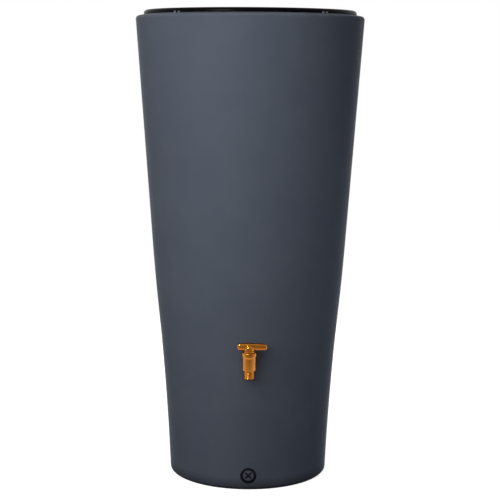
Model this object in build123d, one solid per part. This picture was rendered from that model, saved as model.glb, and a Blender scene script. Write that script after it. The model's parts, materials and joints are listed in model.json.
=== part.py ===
"""A rain barrel of about 220 litres: a tapered vessel, a plant bowl that closes its mouth,
a quarter-turn tap, a drain plug and a hose inlet for the downpipe.

Millimetres. +Z is up, the tap faces -Y, and the origin is the centre of the foot, on the ground.
"""

import os
from math import atan, degrees

from build123d import *

# --- barrel: outline of the outer wall, from the foot to the shoulder ---------------------------
BARREL_HEIGHT = 1190.0
FOOT_RADIUS = 205.0
FLARE_HEIGHT, FLARE_RADIUS = 429.0, 235.2  # where the outward flare turns into the belly
BELLY_HEIGHT, BELLY_RADIUS = 608.0, 250.7  # above this the side is straight
TOP_RADIUS = 292.0
WALL = 4.5

FOOT_FILLET = 12.0  # outer edge of the foot
FOOT_RING_WIDTH = 29.0  # flat ring that stands on the ground, measured in from the foot radius
FLOOR_RISE = 14.0  # height of the floor's underside above the ground
FLOOR_RAMP = 16.0  # radial length of the ramp from the foot ring to the raised floor

SHOULDER_WIDTH = 22.0  # radial length of the sloped shoulder
SHOULDER_RISE = 4.0
SHOULDER_FILLET = 9.0
RIM_LAND = 16.0  # level ring between the shoulder's slope and the mouth
MOUTH_RADIUS = TOP_RADIUS - SHOULDER_WIDTH - RIM_LAND
COLLAR_DEPTH = 24.0  # the mouth's turned-in collar
MOUTH_CHAMFER = 2.0

LUG_ANGLE = 40.6  # locating lugs, each side of the front and of the back
LUG_GAP = 8.6  # clear width between the two nibs of a lug
NIB_WIDTH = 4.0
NIB_HEIGHT = 3.6
NIB_DEPTH = 4.5
NIB_CHAMFER = 0.8
NIB_GAP = 0.5  # between a nib and the bowl's lip

# --- plant bowl ----------------------------------------------------------------------------------
BOWL_WALL = 3.5
BOWL_DEPTH = 176.0  # from the shoulder down to the underside of the bowl's floor
BOWL_TAPER = 40.0  # from the mouth's radius in to the floor's
BOWL_FLOOR_RADIUS = MOUTH_RADIUS - BOWL_TAPER
BOWL_MOUTH_CLEARANCE = 2.5
BOWL_CORNER = 26.0
LIP_WIDTH = 17.0
LIP_RADIUS = MOUTH_RADIUS + LIP_WIDTH
LIP_HEIGHT = 11.2
LIP_EDGE = 7.5  # rounding of the lip's outer edge
SKIRT_GAP = 1.0  # between the lip's outer skirt and the shoulder
SEAT_WIDTH = 3.5
SEAT_INSET = 6.0  # from the mouth's edge to the rib that the bowl stands on
KEY_GAP = 0.5  # between a key of the lip and each nib of its lug
DRAIN_HOLE_RADIUS = 4.0
DRAIN_HOLE_CIRCLE = 150.0
DRAIN_HOLES = 8
BOWL_RIBS = 8
BOWL_RIB_START = 24.0  # from the axis
BOWL_RIB_HEIGHT = 9.0
BOWL_RIB_WIDTH = 3.0

# --- tap -----------------------------------------------------------------------------------------
TAP_HEIGHT = 356.7
TAP_STANDOFF = 34.0  # from the wall to the valve's axis
TAIL_RADIUS = 10.48
TAIL_LENGTH = 34.0  # behind the wall's outer face
TAIL_BORE = 6.5
TAP_FLANGE_RADIUS = 17.2
TAP_FLANGE = 4.0
TAP_SEAL = 2.5
TAP_SEAL_RADIUS = TAP_FLANGE_RADIUS - 0.4
TAP_NECK_RADIUS = 11.5
VALVE_RADIUS = 15.5
VALVE_TOP = 16.0
VALVE_BOTTOM = -30.0
OUTLET_RADIUS = 13.22
OUTLET_LENGTH = 20.5
OUTLET_BORE = 9.5
OUTLET_CHAMFER = 1.0
TURNED_CHAMFER = 1.0  # on the turned edges of the valve body, the flanges and the gland
OUTLET_GROOVE = 2.4  # width of the run-out groove above the outlet's thread
OUTLET_GROOVE_DEPTH = 1.3
CHAMBER_RADIUS = 11.5
PLUG_CLEARANCE = 0.08
PLUG_HALF_HEIGHT = 12.0
PLUG_BORE = 7.6
PLUG_HOLLOW = 7.0  # height of the hollow's top above the port's axis
RING_SECTION = 1.9  # thickness of a plug ring
RING_OFFSET = 9.4  # height of the plug rings above and below the port
STEM_RADIUS = 6.0
STEM_CLEARANCE = 0.08
STEM_RING_SECTION = 1.5
DRIVE_WIDTH = 8.0
DRIVE_LENGTH = 10.0
GLAND_RADIUS = 13.6
GLAND_HEIGHT = 4.0
HANDLE_GAP = 0.4
HUB_RADIUS = 12.5
HUB_HEIGHT = 14.0
HUB_DOME = 7.0  # rounding of the hub's top edge
LONG_ARM = 44.0
SHORT_ARM = 29.4
ARM_WIDTH = 17.0
LONG_ARM_TIP_WIDTH = 11.5
SHORT_ARM_TIP_WIDTH = 13.5
ARM_BOTTOM = 2.4  # height of the arms' underside above the hub's
ARM_THICKNESS = 14.2
LONG_ARM_TIP_DROP = 2.6  # the arms' upper side slopes down to the long arm's tip
ARM_FILLET = 3.0  # along the arms' upper edges
ARM_CHAMFER = 1.6  # along their lower edges
ARM_TIP_FILLET = 5.0  # seen from above
SCREW_RADIUS = 2.0
SCREW_LENGTH = 12.0
SCREW_HEAD_RADIUS = 4.0
SCREW_HEAD = 2.6
SCREW_HEAD_DEPTH = 4.0  # from the arms' crest to the head's seat
SCREW_HEAD_GAP = 0.2
FIT_GAP = 0.05  # between pieces of one body that are screwed or slid together
WALL_BORE_GAP = 0.2  # between a fitting's tail and its hole in the wall

INNER_SEAL = 2.5
SEAL_GAP = 0.3  # between an inner seal and the wall
TAP_NUT_FLATS = 27.0
TAP_NUT = 8.0
NUT_CHAMFER = 0.8

# --- drain plug ----------------------------------------------------------------------------------
DRAIN_HEIGHT = 38.8
POCKET_RADIUS = 20.5
POCKET_DEPTH = 8.5
DRAIN_BOSS_RADIUS = 24.0
DRAIN_THREAD_RADIUS = 10.48
DRAIN_THREAD_LENGTH = 15.0
DRAIN_BOSS_THICKNESS = 12.0  # behind the pocket
DRAIN_THREAD_CLEARANCE = 0.08
DRAIN_HEAD_RADIUS = 14.0
DRAIN_HEAD = 5.0
DRAIN_HEAD_CHAMFER = 0.8
DRAIN_SEAL_RADIUS = 17.5
DRAIN_SEAL = 2.0
DRAIN_CROSS_SPAN = 21.0
DRAIN_CROSS_WIDTH = 4.0
DRAIN_CROSS_DEPTH = 3.4
DRAIN_PLUG_WALL = 3.0
DRAIN_PLUG_FLOOR = 1.0  # from the back of the head to the shank's hollow
DRAIN_SHANK_CHAMFER = 1.0

# --- hose inlet, at the back ---------------------------------------------------------------------
INLET_DROP = 150.0  # below the top of the barrel
INLET_HEIGHT = BARREL_HEIGHT - INLET_DROP
HOSE_RADIUS = 9.5
HOSE_SPIGOT_LENGTH = 28.0
HOSE_CHAMFER = 1.0
INLET_BORE = 7.2
INLET_FLANGE_RADIUS = 21.0
INLET_FLANGE = 4.0
INLET_FLANGE_CHAMFER = 1.0
INLET_SEAL = 2.5
INLET_SEAL_RADIUS = INLET_FLANGE_RADIUS - 1.0
INLET_TAIL_RADIUS = 13.22
INLET_TAIL_LENGTH = 22.0
INLET_NUT_FLATS = 36.0
INLET_NUT = 7.0

THROUGH = 60.0  # length of a cutter that has to pass a wall
PAST = 1.0  # how far a cutter runs past the face that it opens


# --- small shapes --------------------------------------------------------------------------------
def post(radius, low, high):
    """An upright cylinder on the Z axis between two heights."""
    return Pos(0, 0, (low + high) / 2) * Cylinder(radius, high - low)


def rod(radius, start, end):
    """A level cylinder on the Y axis between two places."""
    return Pos(0, (start + end) / 2, 0) * Rot(90, 0, 0) * Cylinder(radius, end - start)


def tube(outer, inner, start, end):
    """A level tube on the Y axis."""
    return rod(outer, start, end) - rod(inner, start - PAST, end + PAST)


def hex_nut(flats, bore, start, end):
    """A six-sided nut on the Y axis, one flat up."""
    six = extrude(RegularPolygon(flats / 2, 6, major_radius=False, rotation=30), end - start)
    chamfered = chamfer(six.faces().sort_by(Axis.Z)[-1].edges(), NUT_CHAMFER)
    return Pos(0, start, 0) * Rot(-90, 0, 0) * chamfered - rod(bore, start - PAST, end + PAST)


# --- barrel --------------------------------------------------------------------------------------
def side(inset, low, high):
    """The barrel's side, set in by a wall: straight from the height high down to the belly,
    then two arcs that run on smoothly, the belly and the flare above the foot."""
    slope = (TOP_RADIUS - BELLY_RADIUS) / (BARREL_HEIGHT - SHOULDER_RISE - BELLY_HEIGHT)
    top = BELLY_RADIUS + slope * (high - BELLY_HEIGHT)
    upper = Line((top - inset, high), (BELLY_RADIUS - inset, BELLY_HEIGHT))
    belly = TangentArc(upper @ 1, (FLARE_RADIUS - inset, FLARE_HEIGHT), tangent=upper % 1)
    flare = TangentArc(belly @ 1, (FOOT_RADIUS - inset, low), tangent=belly % 1)
    return upper, belly, flare


def barrel_solid(inset, soften=fillet):
    """The barrel as a full solid, set in by a wall: 0 for its outside, WALL for its cavity."""
    foot, top = inset, BARREL_HEIGHT - inset
    shoulder = top - SHOULDER_RISE
    ring = FOOT_RADIUS - FOOT_RING_WIDTH + inset
    raised = FLOOR_RISE + inset
    upper, belly, flare = side(inset, foot, shoulder)
    crest = TOP_RADIUS - SHOULDER_WIDTH
    outline = [
        Line((0, raised), (ring - FLOOR_RAMP, raised)),
        Line((ring - FLOOR_RAMP, raised), (ring, foot)),
        Line((ring, foot), flare @ 1),
        flare,
        belly,
        upper,
        Line(upper @ 0, (crest, top)),
        Line((crest, top), (0, top)),
        Line((0, top), (0, raised)),
    ]
    face = make_face(Curve() + outline)
    corner = face.vertices().sort_by_distance(flare @ 1)[0]
    face = soften(corner, FOOT_FILLET - inset)
    corner = face.vertices().sort_by_distance(upper @ 0)[0]
    face = soften(corner, SHOULDER_FILLET - inset)
    return revolve(Plane.XZ * face, Axis.Z)


def wall_at(height):
    """Radius of the outer wall at a height, and how far it leans outward there, in degrees."""
    upper, belly, flare = side(0, 0, BARREL_HEIGHT - SHOULDER_RISE)
    if height >= BELLY_HEIGHT:
        piece = upper
    elif height >= FLARE_HEIGHT:
        piece = belly
    else:
        piece = flare
    above, below = 0.0, 1.0
    for _ in range(40):
        middle = (above + below) / 2
        if (piece @ middle).Y < height:
            below = middle
        else:
            above = middle
    slope = piece % middle
    return (piece @ middle).X, degrees(atan(slope.X / slope.Y))


def wall_frame(height, turn=0):
    """A frame on the outer wall whose -Y points out of the wall and whose Z runs up along it."""
    radius, lean = wall_at(height)
    return Rot(0, 0, turn) * Pos(0, -radius, height) * Rot(lean, 0, 0)


def lug_nibs():
    """Two nibs on the shoulder in front of the bowl's lip, pointing out along -Y."""
    nib = Box(NIB_WIDTH, NIB_DEPTH, NIB_HEIGHT + SHOULDER_RISE)
    nib = chamfer(nib.faces().sort_by(Axis.Z)[-1].edges(), NIB_CHAMFER)
    out = -(LIP_RADIUS + NIB_GAP + NIB_DEPTH / 2)
    up = BARREL_HEIGHT + (NIB_HEIGHT - SHOULDER_RISE) / 2
    across = (LUG_GAP + NIB_WIDTH) / 2
    return [Pos(x, out, up) * nib for x in (-across, across)]


def lug_turns():
    """Angles about Z of the four lugs, from the front."""
    return (-LUG_ANGLE, LUG_ANGLE, 180 - LUG_ANGLE, 180 + LUG_ANGLE)


def drain_frame():
    """A level frame at the drain, on the outer wall, whose -Y points out."""
    return Pos(0, -wall_at(DRAIN_HEIGHT)[0], DRAIN_HEIGHT)


def make_barrel(outside, cavity):
    collar = post(MOUTH_RADIUS + WALL, BARREL_HEIGHT - COLLAR_DEPTH, BARREL_HEIGHT)
    drain_boss = drain_frame() * rod(DRAIN_BOSS_RADIUS, 0, POCKET_DEPTH + DRAIN_BOSS_THICKNESS)
    shell = outside - (cavity - collar - drain_boss)
    shell -= post(MOUTH_RADIUS, BARREL_HEIGHT - COLLAR_DEPTH - PAST, BARREL_HEIGHT + PAST)
    edge = BARREL_HEIGHT - MOUTH_CHAMFER
    flared = MOUTH_RADIUS + MOUTH_CHAMFER
    shell -= Pos(0, 0, edge + MOUTH_CHAMFER / 2) * Cone(MOUTH_RADIUS, flared, MOUTH_CHAMFER)
    for turn in lug_turns():
        for nib in lug_nibs():
            shell += Rot(0, 0, turn) * nib
    tap, inlet = wall_frame(TAP_HEIGHT), wall_frame(INLET_HEIGHT, 180)
    shell -= tap * rod(TAIL_RADIUS + WALL_BORE_GAP, -THROUGH, THROUGH)
    shell -= inlet * rod(INLET_TAIL_RADIUS + WALL_BORE_GAP, -THROUGH, THROUGH)
    shell -= drain_frame() * rod(POCKET_RADIUS, -THROUGH, POCKET_DEPTH)
    shell -= drain_frame() * rod(DRAIN_THREAD_RADIUS + DRAIN_THREAD_CLEARANCE, -THROUGH, THROUGH)
    return shell


# --- plant bowl ----------------------------------------------------------------------------------
def bowl_body(inset):
    """The bowl as a full solid, set in by a wall, up to the crest of its lip."""
    neck = MOUTH_RADIUS - BOWL_MOUTH_CLEARANCE - inset
    floor = BARREL_HEIGHT - BOWL_DEPTH + inset
    below_collar = BARREL_HEIGHT - COLLAR_DEPTH
    top = BARREL_HEIGHT + LIP_HEIGHT
    points = [
        (0, floor),
        (BOWL_FLOOR_RADIUS - inset, floor),
        (neck, below_collar),
        (neck, top),
        (0, top),
    ]
    face = make_face(Polyline(*points, close=True))
    corner = face.vertices().sort_by_distance((BOWL_FLOOR_RADIUS - inset, floor))[0]
    face = chamfer(corner, BOWL_CORNER - inset / 2)
    return revolve(Plane.XZ * face, Axis.Z)


def lip_solid():
    """The bowl's rolled lip: a crowned ring, hollow below, with a seat rib and an outer skirt."""
    base, top = BARREL_HEIGHT, BARREL_HEIGHT + LIP_HEIGHT
    inner = MOUTH_RADIUS - BOWL_MOUTH_CLEARANCE - BOWL_WALL
    section = make_face(
        Polyline((inner, base), (LIP_RADIUS, base), (LIP_RADIUS, top), (inner, top), close=True)
    )
    edge = section.vertices().sort_by_distance((LIP_RADIUS, top))[0]
    section = fillet(edge, LIP_EDGE)
    edge = section.vertices().sort_by_distance((inner, top))[0]
    section = chamfer(edge, BOWL_WALL / 3)
    seat = MOUTH_RADIUS + SEAT_INSET
    neck = MOUTH_RADIUS - BOWL_MOUTH_CLEARANCE
    skirt = LIP_RADIUS - BOWL_WALL
    roof = top - BOWL_WALL
    inside = Pos((neck + seat) / 2, (base + roof) / 2) * Rectangle(seat - neck, roof - base)
    rib_end = seat + SEAT_WIDTH
    under = Pos((rib_end + skirt) / 2, (base + roof) / 2) * Rectangle(skirt - rib_end, roof - base)
    edge = under.vertices().sort_by_distance((skirt, roof))[0]
    under = chamfer(edge, LIP_EDGE - BOWL_WALL)
    relief = Pos((rib_end + LIP_RADIUS) / 2, base) * Rectangle(LIP_RADIUS - rib_end, SKIRT_GAP * 2)
    return revolve(Plane.XZ * (section - inside - under - relief), Axis.Z)


def make_bowl():
    bowl = bowl_body(0) + lip_solid() - bowl_body(BOWL_WALL)
    inner = MOUTH_RADIUS - BOWL_MOUTH_CLEARANCE - BOWL_WALL
    bowl -= post(inner, BARREL_HEIGHT, BARREL_HEIGHT + LIP_HEIGHT + PAST)
    key_width = LUG_GAP - 2 * KEY_GAP
    key_low, key_high = BARREL_HEIGHT + SKIRT_GAP, BARREL_HEIGHT + NIB_HEIGHT
    key = Box(key_width, NIB_DEPTH + BOWL_WALL / 2, key_high - key_low)
    key_out = -(LIP_RADIUS - BOWL_WALL / 4 + NIB_DEPTH / 2)
    for turn in lug_turns():
        bowl += Rot(0, 0, turn) * Pos(0, key_out, (key_low + key_high) / 2) * key
    floor = BARREL_HEIGHT - BOWL_DEPTH
    rib_end = BOWL_FLOOR_RADIUS - BOWL_CORNER
    rib = Box(rib_end - BOWL_RIB_START, BOWL_RIB_WIDTH, BOWL_RIB_HEIGHT)
    rib = Pos((BOWL_RIB_START + rib_end) / 2, 0, floor - BOWL_RIB_HEIGHT / 2) * rib
    for turn in range(BOWL_RIBS):
        bowl += Rot(0, 0, (turn + 0.75) * 360 / BOWL_RIBS) * rib
    for turn in range(DRAIN_HOLES):
        place = Rot(0, 0, (turn + 0.25) * 360 / DRAIN_HOLES) * Pos(DRAIN_HOLE_CIRCLE, 0, 0)
        bowl -= place * post(DRAIN_HOLE_RADIUS, floor - PAST, floor + BOWL_WALL + PAST)
    return bowl


# --- tap, in the wall's frame: the inlet on Y, the valve upright at -TAP_STANDOFF ------------------
def at_valve(shape):
    return Pos(0, -TAP_STANDOFF, 0) * shape


def make_tap_body():
    outlet_end = VALVE_BOTTOM - OUTLET_LENGTH
    barrel = post(VALVE_RADIUS, VALVE_BOTTOM, VALVE_TOP)
    barrel = chamfer(barrel.edges(), TURNED_CHAMFER)
    outlet = post(OUTLET_RADIUS, outlet_end, VALVE_BOTTOM + 2 * PAST)
    outlet = chamfer(outlet.edges().sort_by(Axis.Z)[0], OUTLET_CHAMFER)
    groove_low = VALVE_BOTTOM - OUTLET_GROOVE
    groove = post(OUTLET_RADIUS + PAST, groove_low, VALVE_BOTTOM)
    core = OUTLET_RADIUS - OUTLET_GROOVE_DEPTH
    groove -= post(core, groove_low - PAST, VALVE_BOTTOM + PAST)
    upright = at_valve(barrel + (outlet - groove))
    flange_front = -(TAP_SEAL + TAP_FLANGE)
    flange = rod(TAP_FLANGE_RADIUS, flange_front, -TAP_SEAL)
    flange = chamfer(flange.edges().sort_by(Axis.Y)[0], TURNED_CHAMFER)
    neck = rod(TAP_NECK_RADIUS, -TAP_STANDOFF, -TAP_SEAL)
    tail = rod(TAIL_RADIUS, -TAP_SEAL, TAIL_LENGTH)
    tail = chamfer(tail.edges().sort_by(Axis.Y)[-1], TURNED_CHAMFER)
    body = upright + flange + neck + tail
    body -= at_valve(post(CHAMBER_RADIUS, -PLUG_HALF_HEIGHT, VALVE_TOP + PAST))
    body -= at_valve(post(OUTLET_BORE, outlet_end - PAST, -PLUG_HALF_HEIGHT + PAST))
    body -= rod(TAIL_BORE, -TAP_STANDOFF, TAIL_LENGTH + PAST)
    return body


def make_tap_gland():
    """The screwed ring that closes the valve chamber round the stem."""
    top = VALVE_TOP + GLAND_HEIGHT
    cap = post(GLAND_RADIUS, VALVE_TOP, top)
    cap = chamfer(cap.edges().sort_by(Axis.Z)[-1], TURNED_CHAMFER)
    spigot = post(CHAMBER_RADIUS - FIT_GAP, PLUG_HALF_HEIGHT, VALVE_TOP)
    bore = post(STEM_RADIUS + STEM_CLEARANCE, PLUG_HALF_HEIGHT - PAST, top + PAST)
    return at_valve(cap + spigot - bore)


def drive_low():
    return VALVE_TOP + GLAND_HEIGHT + HANDLE_GAP


def stem_ring_middle():
    return (PLUG_HALF_HEIGHT + VALVE_TOP + GLAND_HEIGHT) / 2


def cut_groove(shape, radius, middle, section):
    """Cut a groove for a ring round an upright cylinder."""
    half = section / 2 + FIT_GAP
    low, high = middle - half, middle + half
    groove = post(radius + PAST, low, high) - post(radius - section, low - PAST, high + PAST)
    return shape - groove


def ring_at(radius, middle, section):
    """A rubber ring of square section that lies in its groove, flush with a bore's radius."""
    low, high = middle - section / 2, middle + section / 2
    return post(radius, low, high) - post(radius - section, low - PAST, high + PAST)


def make_tap_plug():
    """The hollow valve plug: open below, one port to the left while the tap is shut."""
    radius = CHAMBER_RADIUS - PLUG_CLEARANCE
    half = PLUG_HALF_HEIGHT - PLUG_CLEARANCE
    plug = post(radius, -half, half)
    plug += post(STEM_RADIUS, half, drive_low())
    drive = Box(DRIVE_WIDTH, DRIVE_WIDTH, DRIVE_LENGTH)
    plug += Pos(0, 0, drive_low() + DRIVE_LENGTH / 2) * drive
    plug -= post(PLUG_BORE, -half - PAST, PLUG_HOLLOW)
    plug -= Rot(0, 0, 90) * rod(TAIL_BORE, 0, radius + PAST)
    for middle in (-RING_OFFSET, RING_OFFSET):
        plug = cut_groove(plug, radius, middle, RING_SECTION)
    plug = cut_groove(plug, STEM_RADIUS, stem_ring_middle(), STEM_RING_SECTION)
    drive_high = drive_low() + DRIVE_LENGTH
    plug -= post(SCREW_RADIUS + FIT_GAP, screw_low() - PAST, drive_high + PAST)
    return at_valve(plug)


def make_plug_rings():
    radius = CHAMBER_RADIUS - FIT_GAP
    rings = [ring_at(radius, middle, RING_SECTION) for middle in (-RING_OFFSET, RING_OFFSET)]
    return Compound(children=[at_valve(ring) for ring in rings])


def make_stem_ring():
    return at_valve(ring_at(STEM_RADIUS + FIT_GAP / 2, stem_ring_middle(), STEM_RING_SECTION))


def handle_crest():
    return drive_low() + ARM_BOTTOM + ARM_THICKNESS


def screw_seat():
    return handle_crest() - SCREW_HEAD_DEPTH


def screw_low():
    return screw_seat() - SCREW_LENGTH


def make_tap_handle():
    """The T-shaped lever: a domed hub with a long arm to the right and a short arm to the left."""
    low = drive_low()
    under = low + ARM_BOTTOM
    crest = handle_crest()
    plan = make_face(
        Polyline(
            (-SHORT_ARM, -SHORT_ARM_TIP_WIDTH / 2),
            (0, -ARM_WIDTH / 2),
            (LONG_ARM, -LONG_ARM_TIP_WIDTH / 2),
            (LONG_ARM, LONG_ARM_TIP_WIDTH / 2),
            (0, ARM_WIDTH / 2),
            (-SHORT_ARM, SHORT_ARM_TIP_WIDTH / 2),
            close=True,
        )
    )
    tips = plan.vertices().filter_by(lambda v: abs(v.X) > HUB_RADIUS)
    plan = fillet(tips, ARM_TIP_FILLET)
    blank = Pos(0, 0, under) * extrude(plan, crest - under + PAST)
    above = make_face(
        Polyline(
            (-SHORT_ARM, crest),
            (-SHORT_ARM, crest + 2 * PAST),
            (LONG_ARM, crest + 2 * PAST),
            (LONG_ARM, crest - LONG_ARM_TIP_DROP),
            close=True,
        )
    )
    arms = blank - extrude(Plane.XZ * above, ARM_WIDTH, both=True)
    arms = fillet(arms.faces().sort_by(Axis.Z)[-1].edges(), ARM_FILLET)
    arms = chamfer(arms.faces().sort_by(Axis.Z)[0].edges(), ARM_CHAMFER)
    hub = fillet(post(HUB_RADIUS, low, low + HUB_HEIGHT).edges().sort_by(Axis.Z)[-1], HUB_DOME)
    handle = arms + hub
    socket = DRIVE_WIDTH + FIT_GAP * 2
    handle -= Pos(0, 0, low + DRIVE_LENGTH / 2) * Box(socket, socket, DRIVE_LENGTH + FIT_GAP * 2)
    handle -= post(SCREW_RADIUS + FIT_GAP, low, crest + PAST)
    handle -= post(SCREW_HEAD_RADIUS + SCREW_HEAD_GAP, screw_seat(), crest + PAST)
    return at_valve(handle)


def make_tap_screw():
    seat = screw_seat()
    head = post(SCREW_HEAD_RADIUS, seat, seat + SCREW_HEAD)
    head = chamfer(head.edges().sort_by(Axis.Z)[-1], SCREW_HEAD / 4)
    return at_valve(head + post(SCREW_RADIUS, screw_low(), seat))


# --- fittings that clamp on the wall -------------------------------------------------------------
def outer_seal(frame, outer, inner, thickness, outside):
    """A rubber ring between a flange and the wall, shaped to the wall."""
    return frame * tube(outer, inner, -thickness, WALL) - outside


def inner_seal(frame, outer, inner, lining):
    """A rubber ring on the inside of the wall, shaped to the wall."""
    return frame * tube(outer, inner, 0, WALL + INNER_SEAL) & lining


def make_inlet_connector():
    flange_front = -(INLET_SEAL + INLET_FLANGE)
    end = flange_front - HOSE_SPIGOT_LENGTH
    flange = rod(INLET_FLANGE_RADIUS, flange_front, -INLET_SEAL)
    flange = chamfer(flange.edges().sort_by(Axis.Y)[0], INLET_FLANGE_CHAMFER)
    spigot = rod(HOSE_RADIUS, end, flange_front)
    spigot = chamfer(spigot.edges().sort_by(Axis.Y)[0], HOSE_CHAMFER)
    tail = rod(INLET_TAIL_RADIUS, -INLET_SEAL, INLET_TAIL_LENGTH)
    bore = rod(INLET_BORE, end - PAST, INLET_TAIL_LENGTH + PAST)
    return flange + spigot + tail - bore


# --- drain plug, in the drain's frame --------------------------------------------------------------
def make_drain_plug():
    seat = POCKET_DEPTH - DRAIN_SEAL
    face = seat - DRAIN_HEAD
    end = POCKET_DEPTH + DRAIN_THREAD_LENGTH
    head = rod(DRAIN_HEAD_RADIUS, face, seat)
    head = chamfer(head.edges().sort_by(Axis.Y)[0], DRAIN_HEAD_CHAMFER)
    shank = rod(DRAIN_THREAD_RADIUS, seat, end)
    shank = chamfer(shank.edges().sort_by(Axis.Y)[-1], DRAIN_SHANK_CHAMFER)
    hollow = rod(DRAIN_THREAD_RADIUS - DRAIN_PLUG_WALL, seat + DRAIN_PLUG_FLOOR, end + PAST)
    plug = head + shank - hollow
    slot = Box(DRAIN_CROSS_SPAN, DRAIN_CROSS_DEPTH * 2, DRAIN_CROSS_WIDTH)
    for turn in (45, -45):
        plug -= Pos(0, face, 0) * Rot(0, turn, 0) * slot
    return plug


def make_drain_seal():
    bore = DRAIN_THREAD_RADIUS + DRAIN_THREAD_CLEARANCE
    return tube(DRAIN_SEAL_RADIUS, bore, POCKET_DEPTH - DRAIN_SEAL, POCKET_DEPTH)


def build():
    outside = barrel_solid(0)
    cavity = barrel_solid(WALL, soften=chamfer)
    lining = barrel_solid(WALL + SEAL_GAP, soften=chamfer)
    tap, inlet, drain = wall_frame(TAP_HEIGHT), wall_frame(INLET_HEIGHT, 180), drain_frame()
    inside = WALL + INNER_SEAL
    tap_bore, inlet_bore = TAIL_RADIUS + FIT_GAP, INLET_TAIL_RADIUS + FIT_GAP
    inlet_nut = hex_nut(INLET_NUT_FLATS, inlet_bore, inside, inside + INLET_NUT)
    return {
        "barrel_shell": make_barrel(outside, cavity),
        "plant_bowl": make_bowl(),
        "tap_body": tap * make_tap_body(),
        "tap_gland": tap * make_tap_gland(),
        "tap_plug": tap * make_tap_plug(),
        "tap_plug_rings": tap * make_plug_rings(),
        "tap_stem_ring": tap * make_stem_ring(),
        "tap_handle": tap * make_tap_handle(),
        "tap_handle_screw": tap * make_tap_screw(),
        "tap_outer_seal": outer_seal(tap, TAP_SEAL_RADIUS, tap_bore, TAP_SEAL, outside),
        "tap_inner_seal": inner_seal(tap, TAP_NUT_FLATS / 2, tap_bore, lining),
        "tap_lock_nut": tap * hex_nut(TAP_NUT_FLATS, tap_bore, inside, inside + TAP_NUT),
        "drain_plug": drain * make_drain_plug(),
        "drain_plug_seal": drain * make_drain_seal(),
        "inlet_connector": inlet * make_inlet_connector(),
        "inlet_outer_seal": outer_seal(inlet, INLET_SEAL_RADIUS, inlet_bore, INLET_SEAL, outside),
        "inlet_inner_seal": inner_seal(inlet, INLET_NUT_FLATS / 2, inlet_bore, lining),
        "inlet_lock_nut": inlet * inlet_nut,
    }


os.makedirs("parts", exist_ok=True)
for node, shape in build().items():
    export_step(shape, f"parts/{node}.step")
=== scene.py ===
"""Looks of the rain barrel: materials, finer meshes, floor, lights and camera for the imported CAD.

Metres, in the CAD's own frame: +Z up, the tap faces -Y, the ground is z = 0.
"""

import json
import math

import bmesh
import bpy
from mathutils import Matrix, Vector


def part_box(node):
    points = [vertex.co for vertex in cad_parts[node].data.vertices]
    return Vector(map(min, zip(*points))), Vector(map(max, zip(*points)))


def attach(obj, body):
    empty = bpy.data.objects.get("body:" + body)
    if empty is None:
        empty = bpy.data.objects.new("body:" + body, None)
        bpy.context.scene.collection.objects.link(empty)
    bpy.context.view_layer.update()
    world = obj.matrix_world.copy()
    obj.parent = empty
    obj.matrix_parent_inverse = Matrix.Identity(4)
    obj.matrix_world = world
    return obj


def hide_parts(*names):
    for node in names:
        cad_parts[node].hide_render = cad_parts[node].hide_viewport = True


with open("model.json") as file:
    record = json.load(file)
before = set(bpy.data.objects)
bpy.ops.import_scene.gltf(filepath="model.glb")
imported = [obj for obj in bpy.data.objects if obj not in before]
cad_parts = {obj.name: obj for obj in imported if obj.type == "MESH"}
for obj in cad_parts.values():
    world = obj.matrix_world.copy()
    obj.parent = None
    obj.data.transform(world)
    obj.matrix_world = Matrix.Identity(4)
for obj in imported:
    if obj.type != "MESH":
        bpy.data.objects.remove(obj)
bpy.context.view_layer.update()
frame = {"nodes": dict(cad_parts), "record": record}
MM = 0.001

# --- camera --------------------------------------------------------------------------------------
CAMERA_DISTANCE = 3.542
CAMERA_HEIGHT = 1.0818
CAMERA_AZIMUTH = -0.5  # degrees round the barrel, from straight in front of the tap
CAMERA_PITCH = -7.988
CAMERA_YAW = -0.045
CAMERA_ROLL = 0.341
LENS = 98.5
SENSOR = 36.0

# --- lights --------------------------------------------------------------------------------------
WARM, COOL = (1.0, 1.0, 0.98), (0.84, 0.9, 1.0)
WIDE, NARROW = 180, 50  # spread of a lamp's light in degrees
# A lamp: name, azimuth from the front, distance, height, height aimed at, side, spread, watts, tint
LAMPS = [
    ("key", -6, 1.8, 1.25, 0.9, 1.3, WIDE, 15.0, WARM),
    ("key_left", -43, 1.8, 1.25, 0.9, 1.3, WIDE, 14.0, WARM),
    ("top", -35, 0.7, 2.2, 0.95, 0.7, WIDE, 4.5, WARM),
    ("left_low", -80, 1.9, 0.5, 0.3, 0.8, NARROW, 0.3, WARM),
    ("right_low", 85, 1.9, 0.7, 0.4, 0.8, 90, 1.3, COOL),
    ("right_side", 105, 1.9, 0.5, 0.3, 0.8, 70, 0.5, COOL),
    ("back_left", -175, 2.0, 1.3, 0.7, 0.7, WIDE, 10.0, WARM),
    ("back_right", 175, 2.0, 1.3, 0.7, 0.7, WIDE, 8.0, COOL),
]
GLINT = ("glint", -29, 1.8, 1.6, 0.4, 0.4, WIDE, 26.0, WARM)  # it shows in reflections alone
WORLD_FILL = 0.02
STUDIO_FRONT = 0.36  # brightness of the studio behind the camera, as metal reflects it
STUDIO_TURN = -0.75, 0.0  # a direction's Y: from here to here the studio goes up to white
FLOOR_FRONT = -1.0, -0.35  # along Y: from here to here the reflected floor goes up to white
FLOOR_GLOW = 0.3, 2.2, 0.80, 1.0  # from and to a distance from the middle, brightness there
FLOOR_SIDE = 60.0


# --- frames of the fittings ----------------------------------------------------------------------
def along(start, direction, up=(0, 0, 1)):
    """A place whose Z runs from start along a direction."""
    z = Vector(direction).normalized()
    x = Vector(up).cross(z)
    x = x.normalized() if x.length > 1e-6 else Vector((1, 0, 0))
    y = z.cross(x)
    turned = Matrix((x, y, z)).transposed().to_4x4()
    return Matrix.Translation(Vector(start)) @ turned


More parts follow.
